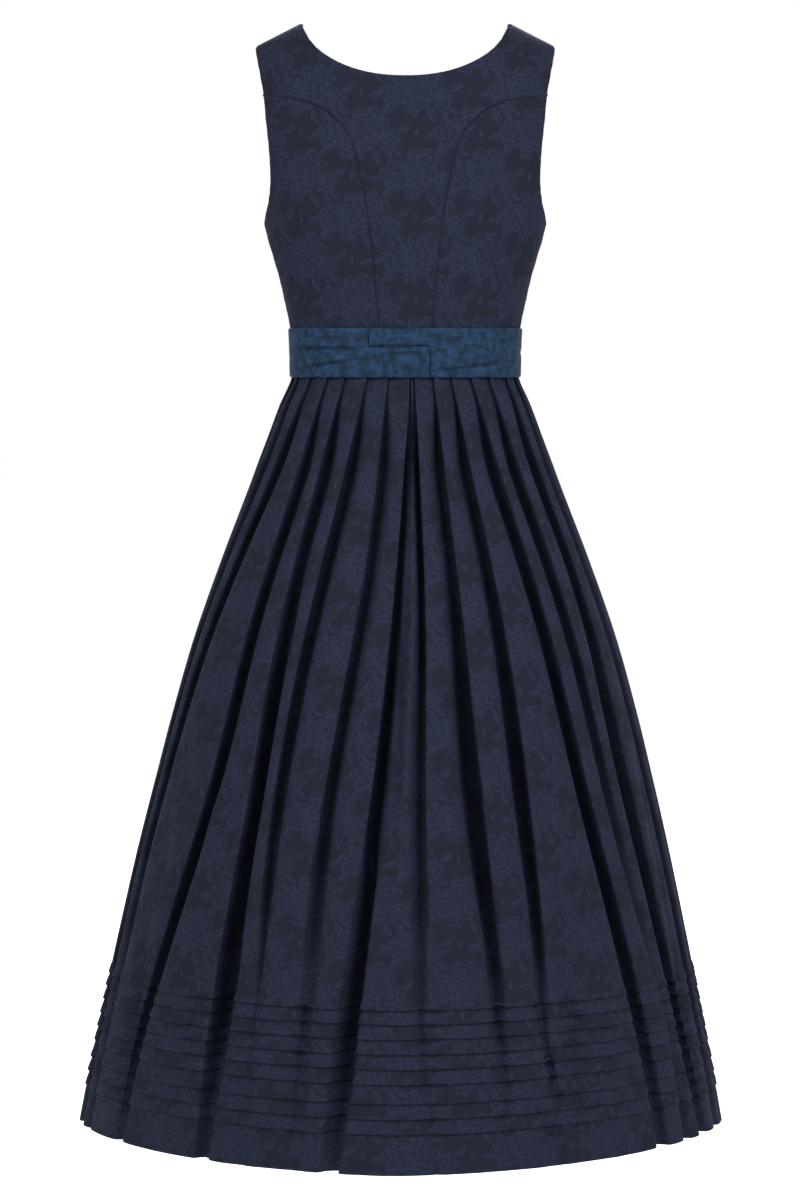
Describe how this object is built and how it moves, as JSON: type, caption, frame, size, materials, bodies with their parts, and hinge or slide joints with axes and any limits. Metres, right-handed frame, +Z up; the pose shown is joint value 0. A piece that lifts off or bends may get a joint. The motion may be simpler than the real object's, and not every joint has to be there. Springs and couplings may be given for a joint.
{
  "type": "dirndl",
  "caption": "Sleeveless long folk dress with a fitted bodice, knife-pleated skirt with hem tucks, and a waist sash, filled out as if worn.",
  "frame": {"origin": "midway between the shoulders, level with the middle of the shoulder seams", "axes": "+Z up, toward the neck; +Y toward the wearer's front; +X toward the wearer's right hand"},
  "size_m": [0.7436, 0.699, 1.2612],
  "materials": {
    "damask": "matt navy jacquard-woven cotton blend with tone-on-tone roses",
    "sash": "soft petrol-blue satin-faced cloth with a low sheen"
  },
  "bodies": {
    "root": {"bodice_back": "damask", "bodice_side_back_left": "damask", "bodice_side_back_right": "damask", "bodice_side_front_left": "damask", "bodice_side_front_right": "damask", "bodice_front_left": "damask", "bodice_front_right": "damask", "skirt_back": "damask", "skirt_front": "damask", "sash": "sash"}
  },
  "joints": []
}
